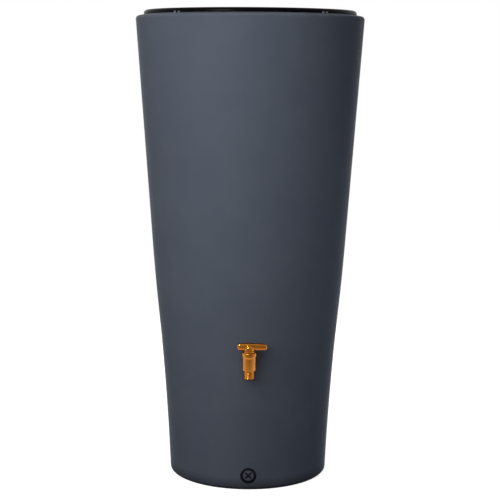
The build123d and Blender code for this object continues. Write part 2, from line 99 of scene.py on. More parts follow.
RECORD = frame["record"]
JOINTS = {joint["name"]: joint for joint in RECORD["behaviour"]["joints"]}
MOUNTS = {mount["name"]: mount for mount in RECORD["mounts"]}
DRAIN = along(JOINTS["drain_turn"]["pos_m"], JOINTS["drain_turn"]["axis"])  # Z points out
INLET = along(MOUNTS["inlet_spigot"]["pos_m"], MOUNTS["inlet_spigot"]["axis"])  # Z points out
# Z points up in VALVE and out in TAP
VALVE = along(JOINTS["tap_turn"]["pos_m"], -Vector(JOINTS["tap_turn"]["axis"]), (0, 1, 0))
TAP_STANDOFF = 34 * MM  # from the valve's axis back to the wall
TAP = VALVE @ Matrix.Translation((0, TAP_STANDOFF, 0)) @ Matrix.Rotation(math.pi / 2, 4, "X")


# --- node helpers --------------------------------------------------------------------------------
class Nodes:
    """A short way to build the node tree of a material or of the world."""

    def __init__(self, name, kind="materials", output="OutputMaterial"):
        self.block = getattr(bpy.data, kind).new(name)
        self.block.use_nodes = True
        self.tree = self.block.node_tree
        self.tree.nodes.clear()
        self.output = self.add(output)
        self.places = self.add("TexCoord").outputs
        self.coords = self.places["Object"]

    def add(self, kind, inputs=None, **settings):
        node = self.tree.nodes.new("ShaderNode" + kind)
        for name, value in settings.items():
            setattr(node, name, value)
        for name, value in (inputs or {}).items():
            self.plug(node.inputs[name], value)
        return node

    def plug(self, socket, value):
        if isinstance(value, bpy.types.NodeSocket):
            self.tree.links.new(value, socket)
        else:
            socket.default_value = value

    def noise(self, scale, detail, rough, stretch=(1, 1, 1), distortion=0.0):
        place = self.add("Mapping", {"Vector": self.coords, "Scale": stretch}).outputs["Vector"]
        inputs = {
            "Vector": place,
            "Scale": scale,
            "Detail": detail,
            "Roughness": rough,
            "Distortion": distortion,
        }
        return self.add("TexNoise", inputs).outputs["Fac"]

    def ranged(self, value, low, high, to_low, to_high):
        """A range mapped to another one. Values outside it are held at its ends."""
        inputs = {
            "Value": value,
            "From Min": low,
            "From Max": high,
            "To Min": to_low,
            "To Max": to_high,
        }
        return self.add("MapRange", inputs, clamp=True).outputs["Result"]

    def math(self, operation, a, b):
        return self.add("Math", {0: a, 1: b}, operation=operation).outputs[0]

    def mix(self, factor, a, b):
        """Two colours mixed: sockets 6 and 7 take them, and output 2 gives the result."""
        return self.add("Mix", {0: factor, 6: a, 7: b}, data_type="RGBA").outputs[2]

    def bump(self, height, distance, strength, under=None):
        inputs = {"Height": height, "Distance": distance, "Strength": strength}
        if under is not None:
            inputs["Normal"] = under
        return self.add("Bump", inputs).outputs["Normal"]

    def height(self):
        return self.add("SeparateXYZ", {"Vector": self.coords}).outputs["Z"]

    def show(self, shader):
        """Let a shader be what the material or the world shows."""
        self.plug(self.output.inputs["Surface"], shader.outputs[0])
        return self.block

    def finish(self, **inputs):
        """The usual shader, with spaces in the names of its sockets written as underscores."""
        sockets = {name.replace("_", " "): value for name, value in inputs.items()}
        return self.show(self.add("BsdfPrincipled", sockets))


def rgb(red, green, blue):
    """A colour as it is written, 0 to 255, in the shader's linear values."""
    def linear(c):
        c = c / 255
        return c / 12.92 if c <= 0.04045 else ((c + 0.055) / 1.055) ** 2.4

    return (linear(red), linear(green), linear(blue), 1.0)


# --- materials -----------------------------------------------------------------------------------
def moulded_plastic(name, colour, shade, grain, roughness, specular, painted_light=()):
    """Polyethylene with a fine moulded grain, faint mottling and a few dull rubbed patches. Each
    painted highlight and each painted shade is given as its mask and its colour."""
    n = Nodes(name)
    mottle = n.noise(9.0, 4.0, 0.6)
    streak = n.noise(5.0, 3.0, 0.6, (1, 1, 0.12))
    colour_a = n.mix(n.ranged(mottle, 0.35, 0.65, 0.0, 1.0), colour, shade)
    colour_b = n.mix(n.ranged(streak, 0.45, 0.75, 0.0, 0.35), colour_a, shade)
    rubbed = n.noise(14.0, 5.0, 0.7, distortion=0.4)
    # painted highlight and painted shade, each laid over the colour by its own mask
    for amount, tint in painted_light:
        colour_b = n.mix(amount(n), colour_b, tint)
    rough = n.ranged(rubbed, 0.3, 0.75, roughness - 0.05, roughness + 0.09)
    wave = n.bump(n.noise(7.0, 1.0, 0.4), 0.6 * MM, 0.35)
    skin = n.bump(n.noise(1 / grain, 3.0, 0.6), 0.10 * MM, 0.5, wave)
    return n.finish(
        Base_Color=colour_b, Roughness=rough, Specular_IOR_Level=specular, Normal=skin
    )


# painted highlight: a paler band on the barrel's shoulder, where its rounded edge would catch the
# light
HIGHLIGHT_FROM, HIGHLIGHT_TO, BRIM_HIGHLIGHT = 11 * MM, 4 * MM, 0.16  # below the brim, and how much shows
# painted shade: the foot darker towards the ground, up to this height, and how much shows at the
# ground
FOOT_SHADE_HEIGHT, FOOT_SHADE = 34 * MM, 0.75
POCKET_SHADE_DEPTH = 6 * MM  # of the middle of the painted shade in the drain's pocket
POCKET_SHADE_EDGE, POCKET_SHADE = (20.9 * MM, 21.3 * MM), 0.85  # distances from that middle
# painted shade in the drain plug's cross recess and round its head
RECESS_SHADE_TOP = -2.6 * MM, -1.9 * MM  # along the drain's axis
RECESS_SHADE_FOOT = -5.7 * MM, -5.4 * MM


def uneven_height(n):
    """Height above the ground, give or take 2 mm, so that painted light has no straight edge."""
    return n.math("ADD", n.height(), n.ranged(n.noise(14.0, 5.0, 0.7), 0.3, 0.7, -2 * MM, 2 * MM))


def painted_brim_highlight(n):
    """Painted highlight: a paler band on the shoulder, below the brim, where its rounded edge would
    catch the light.
    """
    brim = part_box("barrel_shell")[1].z
    return n.ranged(uneven_height(n), brim - HIGHLIGHT_FROM, brim - HIGHLIGHT_TO, 0.0, BRIM_HIGHLIGHT)


def painted_foot_shade(n):
    """Painted shade: the foot darker towards the ground."""
    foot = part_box("barrel_shell")[0].z
    return n.ranged(uneven_height(n), foot, foot + FOOT_SHADE_HEIGHT, FOOT_SHADE, 0.0)


def painted_pocket_shade(n):
    """Painted shade in the drain's pocket, but not on the wall round it."""
    middle = DRAIN @ Vector((0, 0, -POCKET_SHADE_DEPTH))
    apart = n.add("VectorMath", {0: n.coords, 1: middle}, operation="DISTANCE")
    return n.ranged(apart.outputs["Value"], *POCKET_SHADE_EDGE, POCKET_SHADE, 0.0)


def painted_recess_shade(n):
    """Painted shade in the cross of the drain plug and round its head, below the face."""
    out = DRAIN.to_3x3() @ Vector((0, 0, 1))
    along_axis = n.add("VectorMath", {0: n.coords, 1: out}, operation="DOT_PRODUCT")
    height = n.math("SUBTRACT", along_axis.outputs["Value"], out.dot(DRAIN.translation))
    below = n.ranged(height, *RECESS_SHADE_TOP, 1.0, 0.0)
    return n.math("MULTIPLY", below, n.ranged(height, *RECESS_SHADE_FOOT, 0.0, 1.0))


def brass(name):
    """Cast and polished brass under clear lacquer, a little darker and rougher in patches."""
    n = Nodes(name)
    patch = n.noise(60.0, 4.0, 0.6)
    colour = n.mix(n.ranged(patch, 0.35, 0.7, 0.0, 1.0), rgb(206, 130, 26), rgb(186, 110, 18))
    rough = n.ranged(n.noise(220.0, 4.0, 0.6), 0.3, 0.7, 0.14, 0.24)
    skin = n.bump(n.noise(900.0, 3.0, 0.6), 0.05 * MM, 0.35)
    return n.finish(
        Base_Color=colour,
        Metallic=1.0,
        Roughness=rough,
        Normal=skin,
        Coat_Weight=0.4,
        Coat_Roughness=0.08,
        Coat_IOR=1.6,
    )


def rubber(name):
    """Dull black rubber with a little dust."""
    n = Nodes(name)
    dust = n.noise(90.0, 4.0, 0.6)
    colour = n.mix(n.ranged(dust, 0.4, 0.7, 0.0, 1.0), rgb(16, 16, 18), rgb(26, 26, 27))
    rough = n.ranged(dust, 0.3, 0.7, 0.62, 0.8)
    skin = n.bump(n.noise(1500.0, 2.0, 0.5), 0.04 * MM, 0.4)
    return n.finish(Base_Color=colour, Roughness=rough, Specular_IOR_Level=0.2, Normal=skin)


def steel(name):
    """Brushed stainless steel."""
    n = Nodes(name)
    brushed = n.noise(400.0, 3.0, 0.6, (1, 1, 6))
    colour = n.mix(n.ranged(brushed, 0.3, 0.7, 0.0, 1.0), rgb(196, 197, 200), rgb(168, 169, 172))
    rough = n.ranged(brushed, 0.3, 0.7, 0.22, 0.36)
    skin = n.bump(brushed, 0.03 * MM, 0.3)
    return n.finish(Base_Color=colour, Metallic=1.0, Roughness=rough, Normal=skin)


# colour of the painted shade in the drain's pocket and in the plug's recess
PAINTED_SHADE = rgb(11, 12, 21)
# the barrel's painted highlight below the brim and its painted shade at the foot and in the pocket
BARREL_PAINTED_LIGHT = (
    (painted_brim_highlight, rgb(172, 178, 190)),
    (painted_foot_shade, rgb(36, 35, 40)),
    (painted_pocket_shade, PAINTED_SHADE),
)
MATERIALS = {
    "barrel": moulded_plastic(
        "graphite_polyethylene",
        colour=rgb(88, 94, 106),
        shade=rgb(84, 90, 103),
        grain=0.9 * MM,
        roughness=0.3,
        specular=0.004,
        painted_light=BARREL_PAINTED_LIGHT,
    ),
    "bowl": moulded_plastic(
        "black_polypropylene",
        colour=rgb(9, 9, 11),
        shade=rgb(6, 6, 8),
        grain=0.7 * MM,
        roughness=0.3,
        specular=0.03,
    ),
    "tap": brass("brass"),
    "rubber": rubber("black_rubber"),
    "screw": steel("stainless_steel"),
    "plug": moulded_plastic(
        "plug_polyethylene",
        colour=rgb(84, 87, 99),
        shade=rgb(77, 80, 92),
        grain=0.7 * MM,
        roughness=0.48,
        specular=0.1,
        # painted shade in the plug's cross and round its head
        painted_light=((painted_recess_shade, PAINTED_SHADE),),
    ),
    "fitting": moulded_plastic(
        "black_nylon",
        colour=rgb(30, 30, 32),
        shade=rgb(24, 24, 26),
        grain=0.7 * MM,
        roughness=0.4,
        specular=0.35,
    ),
}


def paint(piece, slot):
    piece.data.materials.clear()
    piece.data.materials.append(MATERIALS[slot])


NODE_SLOT = {subpart["node"]: subpart["material_slot"] for subpart in RECORD["subparts"]}


def paint_cad_nodes():
    """Every CAD node that is still shown gets its finish."""
    for node, piece in frame["nodes"].items():
        paint(piece, NODE_SLOT[node])


# --- turned pieces -------------------------------------------------------------------------------
AROUND = 256  # faces round a large turned piece
SMALL_AROUND = 128  # faces round a small one
SHARP = math.radians(22)  # a turn of the outline above this is a corner, below it a curve
STRAIGHT = math.radians(0.05)  # a turn below this is none
WELD = 0.002 * MM  # points closer than this are one
CLOSE = 0.01 * MM  # a point this close to a plane or to another point is on it


def polygon(*points):
    return [Vector(point) for point in points]


def cut_outline(node):
    """A turned node's outline: its mesh cut at y = 0, x > 0, walked from the axis to the axis."""
    bm = bmesh.new()
    bm.from_mesh(frame["nodes"][node].data)
    bmesh.ops.remove_doubles(bm, verts=bm.verts, dist=WELD)
    for normal in ((1, 0, 0), (0, 1, 0)):
        geometry = bm.verts[:] + bm.edges[:] + bm.faces[:]
        bmesh.ops.bisect_plane(
            bm,
            geom=geometry,
            dist=WELD,
            plane_co=(0, 0, 0),
            plane_no=normal,
            clear_inner=normal[0] == 1,
        )
    chain = walked([edge for edge in bm.edges if on_cut(edge)])
    outline = [Vector((v.co.x, v.co.z)) for v in chain]
    bm.free()
    return thinned(outline)


def on_cut(edge):
    """Whether an edge lies in the cut, y = 0 and x > 0, and not on the axis."""
    inside = all(abs(v.co.y) < CLOSE and v.co.x > -CLOSE for v in edge.verts)
    return inside and not all(abs(v.co.x) < CLOSE for v in edge.verts)


def walked(edges):
    """The vertices of a chain of edges, from its lower end to its upper end."""
    follows = {}
    for edge in edges:
        a, b = edge.verts
        follows.setdefault(a, []).append(b)
        follows.setdefault(b, []).append(a)
    ends = sorted((v for v in follows if len(follows[v]) == 1), key=lambda v: v.co.z)
    chain = [ends[0]]
    passed = {ends[0]}
    while True:
        onward = [v for v in follows[chain[-1]] if v not in passed]
        if not onward:
            return chain
        chain.append(onward[0])
        passed.add(onward[0])


def turn_at(before, here, after):
    """The signed angle by which a line turns at a point."""
    a, b = here - before, after - here
    return math.atan2(a.x * b.y - a.y * b.x, a.dot(b))


def thinned(points):
    """The points without repeats and without those in the middle of a straight run."""
    kept = [points[0]]
    for i in range(1, len(points) - 1):
        if (points[i] - kept[-1]).length < CLOSE:
            continue
        if abs(turn_at(kept[-1], points[i], points[i + 1])) > STRAIGHT:
            kept.append(points[i])
    return kept + [points[-1]]


def tangents(points, heading, length):
    """The direction in which each run leaves its first point and arrives at its last one. A long
    run beside a much shorter one stays straight."""
    leaves, arrives = list(heading), list(heading)
    for i in range(1, len(points) - 1):
        turn = turn_at(points[i - 1], points[i], points[i + 1])
        if abs(turn) >= SHARP:
            continue
        a, b = length[i - 1], length[i]
        if a > 3 * b:
            share = 0.0
        elif b > 3 * a:
            share = 1.0
        else:
            share = a / (a + b)
        arrives[i - 1] = heading[i - 1] + turn * share
        leaves[i] = heading[i] - turn * (1 - share)
    return leaves, arrives


def curved(points, step=math.radians(4), longest=20 * MM):
    """The outline with its curves drawn finely, each run as a cubic between its tangents."""
    runs = [b - a for a, b in zip(points, points[1:])]
    heading = [math.atan2(run.y, run.x) for run in runs]
    length = [run.length for run in runs]
    leaves, arrives = tangents(points, heading, length)
    fine = []
    for i in range(len(runs)):
        a, b = points[i], points[i + 1]
        bend = max(abs(leaves[i] - heading[i]), abs(arrives[i] - heading[i]))
        pieces = max(1, math.ceil(2 * bend / step))
        if bend > 2 * STRAIGHT:
            pieces = max(pieces, math.ceil(length[i] / longest))
        reach = length[i] / 3
        c = a + Vector((math.cos(leaves[i]), math.sin(leaves[i]))) * reach
        d = b - Vector((math.cos(arrives[i]), math.sin(arrives[i]))) * reach
        for k in range(pieces):
            t = k / pieces
            u = 1 - t
            fine.append(a * u**3 + c * 3 * u * u * t + d * 3 * u * t * t + b * t**3)
    return fine + [points[-1]]


def smoothed(points, corner=0.7 * MM):
    """The outline with its curves drawn finely and its corners rounded by a small radius."""
    fine = curved(points)
    rounded = [fine[0]]
    for before, here, after in zip(fine, fine[1:], fine[2:]):
        if abs(turn_at(before, here, after)) < SHARP:
            rounded.append(here)
            continue
        back, on = before - here, after - here
        a = here + back.normalized() * min(corner, back.length * 0.4)
        b = here + on.normalized() * min(corner, on.length * 0.4)
        for t in (0.0, 0.25, 0.5, 0.75, 1.0):
            rounded.append(a * (1 - t) ** 2 + here * 2 * t * (1 - t) + b * t * t)
    return rounded + [fine[-1]]


def lathe(name, outline, around=AROUND, place=Matrix.Identity(4), shape=None):
    """A closed solid of revolution about Z. A point on the axis becomes one vertex. shape gives the
    radius of a point from (radius, height, angle), for threads."""
    bm = bmesh.new()
    rings = []
    for point in outline:
        if point.x < 1e-6:
            rings.append([bm.verts.new(place @ Vector((0, 0, point.y)))])
            continue
        ring = []
        for k in range(around):
            angle = 2 * math.pi * k / around
            r = shape(point.x, point.y, angle) if shape else point.x
            ring.append(
                bm.verts.new(place @ Vector((r * math.cos(angle), r * math.sin(angle), point.y)))
            )
        rings.append(ring)
    rings.append(rings[0])
    for low, high in zip(rings, rings[1:]):
        for k in range(around):
            m = (k + 1) % around
            if len(low) == 1 and len(high) == 1:
                continue
            if len(low) == 1:
                bm.faces.new((low[0], high[m], high[k]))
            elif len(high) == 1:
                bm.faces.new((low[k], low[m], high[0]))
            else:
                bm.faces.new((low[k], low[m], high[m], high[k]))
    bmesh.ops.recalc_face_normals(bm, faces=bm.faces)
    return object_from(name, bm)


def object_from(name, bm):
    """A smooth object in the scene from a bmesh, which is used up."""
    mesh = bpy.data.meshes.new(name)
    bm.to_mesh(mesh)
    bm.free()
    for face in mesh.polygons:
        face.use_smooth = True
    piece = bpy.data.objects.new(name, mesh)
    bpy.context.scene.collection.objects.link(piece)
    return piece


def crease(piece, angle=35):
    """Edges that turn by more than an angle in degrees stay sharp, the rest is shaded smooth."""
    bm = bmesh.new()
    bm.from_mesh(piece.data)
    for edge in bm.edges:
        if len(edge.link_faces) == 2:
            edge.smooth = edge.calc_face_angle(0) < math.radians(angle)
    bm.to_mesh(piece.data)
    bm.free()


def boolean(piece, others, operation):
    """Cut away or join other solids, which are used up."""
    for other in others:
        modifier = piece.modifiers.new("with_other", "BOOLEAN")
        modifier.operation = operation
        modifier.solver = "EXACT"
        modifier.object = other
        applied(piece)
        bpy.data.objects.remove(other)


def applied(piece):
    """Put the result of a piece's modifiers into its mesh."""
    shapes = bpy.context.evaluated_depsgraph_get()
    mesh = bpy.data.meshes.new_from_object(piece.evaluated_get(shapes))
    piece.modifiers.clear()
    old = piece.data
    piece.data = mesh
    mesh.name = piece.name
    bpy.data.meshes.remove(old)


def joined(name, pieces):
    """One object from several closed meshes."""
    bm = bmesh.new()
    for piece in pieces:
        bm.from_mesh(piece.data)
        bpy.data.objects.remove(piece)
    return object_from(name, bm)


def bar(radius, start, end, place, around=96):
    """A plain round solid from one height to another, which cuts or is joined on."""
    outline = polygon((0, start), (radius, start), (radius, end), (0, end))
    return lathe("cutter", outline, around, place)


def block(size, place, bevel=0.5 * MM):
    """A box with rounded edges."""
    bm = bmesh.new()
    bmesh.ops.create_cube(bm, size=1.0)
    bmesh.ops.scale(bm, vec=size, verts=bm.verts)
    bmesh.ops.bevel(
        bm, geom=bm.edges[:], offset=bevel, segments=3, profile=0.5, affect="EDGES"
    )
    bmesh.ops.transform(bm, matrix=place, verts=bm.verts)
    return object_from("block", bm)


def finished(piece, node, body="root"):
    """The last steps for a piece that stands for a CAD node."""
    crease(piece)
    paint(piece, NODE_SLOT[node])
    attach(piece, body)
    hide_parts(node)


# --- barrel --------------------------------------------------------------------------------------
LUG_TURNS = [math.radians(turn) for turn in (-40.6, 40.6, 139.4, 220.6)]
NIB = Vector((4.0, 4.5, 7.6)) * MM
NIB_APART = 12.6 * MM
NIB_ROUNDING, NIB_GAP = 0.8 * MM, 0.5 * MM  # the gap is to the bowl's lip
DRAIN_BOSS = 24 * MM, 20.5 * MM  # radius and depth
DRAIN_BOSS_FACE = -3 * MM  # inside the wall, so that it doesn't show
DRAIN_POCKET = 20.5 * MM, 8.5 * MM
DRAIN_BORE, TAP_BORE, INLET_BORE = 10.56 * MM, 10.68 * MM, 13.42 * MM
OUTSIDE, INSIDE, FAR_INSIDE = 20 * MM, -60 * MM, -80 * MM  # ends of cutters through the wall


def turned_to(angle):
    """A turn about Z, in radians."""
    return Matrix.Rotation(angle, 4, "Z")


def make_barrel():
    """The vessel: a turned wall with the drain's pocket, three bores and the nibs of four lugs."""
    wall = lathe("vessel", smoothed(cut_outline("barrel_shell")))
    radius, depth = DRAIN_BOSS
    boolean(wall, [bar(radius, -depth, DRAIN_BOSS_FACE, DRAIN)], "UNION")
    radius, depth = DRAIN_POCKET
    cutters = [
        bar(radius, -depth, OUTSIDE, DRAIN),
        bar(DRAIN_BORE, INSIDE, 0, DRAIN),
        bar(TAP_BORE, INSIDE, OUTSIDE, TAP),
        bar(INLET_BORE, FAR_INSIDE, 0, INLET),
    ]
    boolean(wall, cutters, "DIFFERENCE")
    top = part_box("barrel_shell")[1].z
    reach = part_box("plant_bowl")[1].x + NIB.y / 2 + NIB_GAP
    nibs = []
    for turn in LUG_TURNS:
        for x in (-NIB_APART / 2, NIB_APART / 2):
            place = Matrix.Translation((x, -reach, top - NIB.z / 2))
            nibs.append(block(NIB, turned_to(turn) @ place, NIB_ROUNDING))
    finished(joined("barrel_moulding", [wall, *nibs]), "barrel_shell")


# --- plant bowl ----------------------------------------------------------------------------------
BOWL_HOLES = 8  # and as many ribs
BOWL_HOLE_RADIUS, BOWL_HOLE_CIRCLE = 4 * MM, 150 * MM
BOWL_HOLE_START, BOWL_HOLE_END = -2 * MM, 6 * MM  # from below the floor to above it
BOWL_RIB = Vector((164, 3, 10)) * MM
BOWL_RIB_MIDDLE, BOWL_RIB_ROUNDING = 106 * MM, 0.6 * MM
BOWL_FLOOR = 9 * MM  # height of the floor's underside above the ribs'
KEY = Vector((7.6, 6.2, 2.6)) * MM
KEY_ROUNDING = 0.5 * MM


def make_bowl():
    """The plant bowl: turned, with drain holes and ribs at its floor and keys at its lip."""
    bowl = lathe("bowl", smoothed(cut_outline("plant_bowl")))
    ribs_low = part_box("plant_bowl")[0].z
    floor = ribs_low + BOWL_FLOOR
    pitch = 2 * math.pi / BOWL_HOLES
    cutters = []
    for k in range(BOWL_HOLES):
        place = turned_to((k + 0.25) * pitch) @ Matrix.Translation((BOWL_HOLE_CIRCLE, 0, floor))
        cutters.append(bar(BOWL_HOLE_RADIUS, BOWL_HOLE_START, BOWL_HOLE_END, place, around=48))
    boolean(bowl, cutters, "DIFFERENCE")
    parts = [bowl]
    for k in range(BOWL_HOLES):
        middle = ribs_low + BOWL_RIB.z / 2
        place = turned_to((k + 0.75) * pitch) @ Matrix.Translation((BOWL_RIB_MIDDLE, 0, middle))
        parts.append(block(BOWL_RIB, place, BOWL_RIB_ROUNDING))
    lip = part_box("plant_bowl")[1].x
    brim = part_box("barrel_shell")[1].z
    for turn in LUG_TURNS:
        place = Matrix.Translation((0, -(lip + NIB.y / 2 - KEY.y / 2), brim - KEY.z / 2))
        parts.append(block(KEY, turned_to(turn) @ place, KEY_ROUNDING))
    finished(joined("bowl_moulding", parts), "plant_bowl", "bowl")


# --- threads -------------------------------------------------------------------------------------
PITCH = 25.4 / 14 * MM  # 14 turns to the inch
THREAD_DEPTH = 0.64 * PITCH
RINGS_PER_PITCH, THREAD_AROUND = 12, 96
CREST_POWER = 0.8  # below 1 the crests are narrower than the grooves


def threaded(radius, start, end, depth=THREAD_DEPTH, lead=1.2 * PITCH):
    """The outline and the shape of a round-crested pipe thread between two heights: cut away at a
    chamfered start and fading out before its end."""
    count = math.ceil((end - start) / PITCH * RINGS_PER_PITCH)
    outline = [Vector((radius, start + (end - start) * k / count)) for k in range(count + 1)]

    def shape(r, height, angle):
        if abs(r - radius) > 1e-7 or not start <= height <= end:
            return r
        turn = height / PITCH - angle / (2 * math.pi)
        groove = depth * (0.5 - 0.5 * math.cos(2 * math.pi * turn)) ** CREST_POWER
        fade = min(1.0, (end - height) / lead)
        chamfer = max(0.0, depth - (height - start))
        return r - max(groove * fade, chamfer)

    return outline, shape


# --- tap -----------------------------------------------------------------------------------------
VALVE_RADIUS, VALVE_TOP, VALVE_BOTTOM = 16.8 * MM, 16 * MM, -30 * MM
SWELL_RADIUS, SWELL_MIDDLE, SWELL_SLOPE = 18.4 * MM, 4.5 * MM, 1.8 * MM  # round the gland's thread
VALVE_ROUNDING, NECK_ROUNDING = 1.6 * MM, 0.9 * MM
OUTLET_RADIUS, OUTLET_BORE, OUTLET_END = 13.22 * MM, 9.5 * MM, -50.5 * MM
OUTLET_GROOVE_RADIUS, OUTLET_GROOVE = 11.9 * MM, 2.4 * MM  # plain, above the outlet's thread
OUTLET_THREAD_DEPTH = 0.7 * MM  # cast and worn, so shallower than the tail's
CHAMBER_RADIUS, CHAMBER_LOW = 11.5 * MM, -12 * MM
TAP_FLANGE_RADIUS, TAP_NECK_RADIUS, TAP_TAIL_RADIUS = 16.9 * MM, 11.5 * MM, 10.48 * MM
TAP_FLANGE_FRONT, TAP_FLANGE_BACK, TAP_TAIL_END = 6.5 * MM, 2.5 * MM, -34 * MM
TAP_FLANGE_FILLET = 0.6 * MM, 1.2 * MM  # across and along
TAP_BORE_RADIUS = 6.5 * MM
FLARE_LENGTH, FLARE_MIDDLE = 3.5 * MM, 0.45  # of the neck; the middle as a share of the length
FLARE_GROWTH = 0.5 * MM, 1.6 * MM  # at its middle and its end
FLARE_END = 0.85  # of the valve's radius, from the valve's axis
CORE_FROM = TAP_TAIL_END + 12 * MM  # where the neck's solid starts, inside the threaded tail
SEAM = 0.4 * MM  # how far one solid reaches into the next
OVERCUT = 1 * MM  # how far a cutter goes past what it cuts
OUTLET_INSET = 0.3 * MM, 0.1 * MM  # out and down, so that hidden faces of two solids are apart
TAIL_INSET = 1 * MM  # the same for the tail


def valve_upright():
    """The upright valve body with the swell at its top."""
    outline = polygon(
        (0, VALVE_BOTTOM),
        (VALVE_RADIUS, VALVE_BOTTOM),
        (VALVE_RADIUS, SWELL_MIDDLE - SWELL_SLOPE),
        (SWELL_RADIUS, SWELL_MIDDLE + SWELL_SLOPE),
        (SWELL_RADIUS, VALVE_TOP),
        (0, VALVE_TOP),
    )
    return lathe("upright", smoothed(outline, VALVE_ROUNDING), SMALL_AROUND, VALVE)


def tap_neck():
    """The flange and the neck that flares into the valve body, on a core inside the tail."""
    core = TAP_TAIL_RADIUS - THREAD_DEPTH
    across, up = TAP_FLANGE_FILLET
    inner = TAP_STANDOFF - VALVE_RADIUS * FLARE_END
    middle, end = FLARE_GROWTH
    outline = polygon(
        (0, CORE_FROM),
        (core, CORE_FROM),
        (core, TAP_FLANGE_BACK),
        (TAP_FLANGE_RADIUS, TAP_FLANGE_BACK),
        (TAP_FLANGE_RADIUS, TAP_FLANGE_FRONT),
        (TAP_NECK_RADIUS + across, TAP_FLANGE_FRONT),
        (TAP_NECK_RADIUS, TAP_FLANGE_FRONT + up),
        (TAP_NECK_RADIUS, inner - FLARE_LENGTH),
        (TAP_NECK_RADIUS + middle, inner - FLARE_LENGTH * FLARE_MIDDLE),
        (TAP_NECK_RADIUS + end, inner),
        (TAP_NECK_RADIUS + end, TAP_STANDOFF),
        (0, TAP_STANDOFF),
    )
    return lathe("neck", smoothed(outline, NECK_ROUNDING), SMALL_AROUND, TAP)


def tap_outlet():
    """The threaded outlet as a ring, with a plain groove above its thread."""
    thread_top = VALVE_BOTTOM - OUTLET_GROOVE
    top = VALVE_BOTTOM + SEAM
    out, down = OUTLET_INSET
    outline, shape = threaded(OUTLET_RADIUS, OUTLET_END, thread_top, OUTLET_THREAD_DEPTH)
    ring = [
        *polygon((OUTLET_BORE, OUTLET_END)),
        *outline,
        *polygon((OUTLET_GROOVE_RADIUS, thread_top), (OUTLET_GROOVE_RADIUS, top)),
        *polygon((OUTLET_BORE + out, top), (OUTLET_BORE, VALVE_BOTTOM - down)),
    ]
    return lathe("outlet", ring, SMALL_AROUND, VALVE, shape)


def tap_tail():
    """The threaded tail as a ring round the neck's core."""
    top = TAP_FLANGE_BACK + SEAM
    outline, shape = threaded(TAP_TAIL_RADIUS, TAP_TAIL_END, TAP_FLANGE_BACK)
    ring = [
        *polygon((TAP_BORE_RADIUS, TAP_TAIL_END)),
        *outline,
        *polygon((TAP_TAIL_RADIUS, top), (TAP_BORE_RADIUS + TAIL_INSET, top)),
        *polygon((TAP_BORE_RADIUS, CORE_FROM - TAIL_INSET)),
    ]
    return lathe("tail", ring, THREAD_AROUND, TAP, shape)


def make_tap_body():
    """The cast valve: an upright body, a flared neck and flange and two threaded ends, bored."""
    upright = valve_upright()
    boolean(upright, [tap_neck()], "UNION")
    cutters = [
        bar(CHAMBER_RADIUS, CHAMBER_LOW, VALVE_TOP + OVERCUT, VALVE),
        bar(OUTLET_BORE, VALVE_BOTTOM - OVERCUT, CHAMBER_LOW + OVERCUT, VALVE),
        bar(TAP_BORE_RADIUS, TAP_TAIL_END, TAP_STANDOFF, TAP, around=64),
    ]
    boolean(upright, cutters, "DIFFERENCE")
    finished(joined("tap_casting", [upright, tap_outlet(), tap_tail()]), "tap_body")


# --- tap handle ----------------------------------------------------------------------------------
HANDLE_LOW, HUB_SHOULDER, HUB_TOP, HUB_RADIUS = 20.4 * MM, 25.4 * MM, 35.4 * MM, 12.5 * MM
ARM_ENDS = -29.4 * MM, 44 * MM  # along X, from the valve's axis
ARM_LOW, ARM_TOP = 20.9 * MM, 39.2 * MM
ARM_DROPS = 1.4 * MM, 3.4 * MM  # from the hub's crest to the short and to the long end
ARM_HALF_WIDTHS = 6.75 * MM, 8.5 * MM, 5.75 * MM  # at the short end, at the hub, at the long end
ARM_TIP, ARM_TIP_POWER = 7.5 * MM, 2.6  # length of the rounded ends, and 2 for an ellipse
ARM_POWER = 2.3  # of the arms' section, 2 for an ellipse
DRIVE_SIDE, DRIVE_ROUNDING = 8.1 * MM, 0.2 * MM
DRIVE_HIGH, DRIVE_CUT = 30.45 * MM, 20 * MM  # the socket's end, and the length of its cutter
SCREW_HOLE, SCREW_HEAD_HOLE, SCREW_SEAT = 2.05 * MM, 4.2 * MM, 33 * MM
CAST_GRAIN = 0.6 * MM  # how finely the casting is meshed
CAST_PASSES, CAST_SOFTENING = 6, 0.5  # how often it is softened, and how much each time


def arm_section(x):
    """The arm's half width, underside and top at a distance along X, without its rounded ends."""
    short, middle, long = ARM_HALF_WIDTHS
    share = x / ARM_ENDS[0] if x < 0 else x / ARM_ENDS[1]
    width = middle + ((short if x < 0 else long) - middle) * share
    top = ARM_TOP - ARM_DROPS[0 if x < 0 else 1] * share**1.5
    return width, ARM_LOW, top


def rounder(value):
    """A sine or cosine bent so that the ellipse it draws gets fuller corners."""
    return math.copysign(abs(value) ** (2 / ARM_POWER), value)


def arm_loop(x, around):
    """The points round the arm at a distance along X, drawn in near its rounded ends."""
    width, low, top = arm_section(x)
    end = min(x - ARM_ENDS[0], ARM_ENDS[1] - x, ARM_TIP) / ARM_TIP
    shrink = max(1e-3, (1 - (1 - end) ** ARM_TIP_POWER) ** (1 / ARM_TIP_POWER))
    middle, half = (low + top) / 2, (top - low) / 2
    points = []
    for k in range(around):
        angle = 2 * math.pi * k / around
        y = width * shrink * rounder(math.cos(angle))
        z = middle + half * shrink * rounder(math.sin(angle))
        points.append(VALVE @ Vector((x, y, z)))
    return points


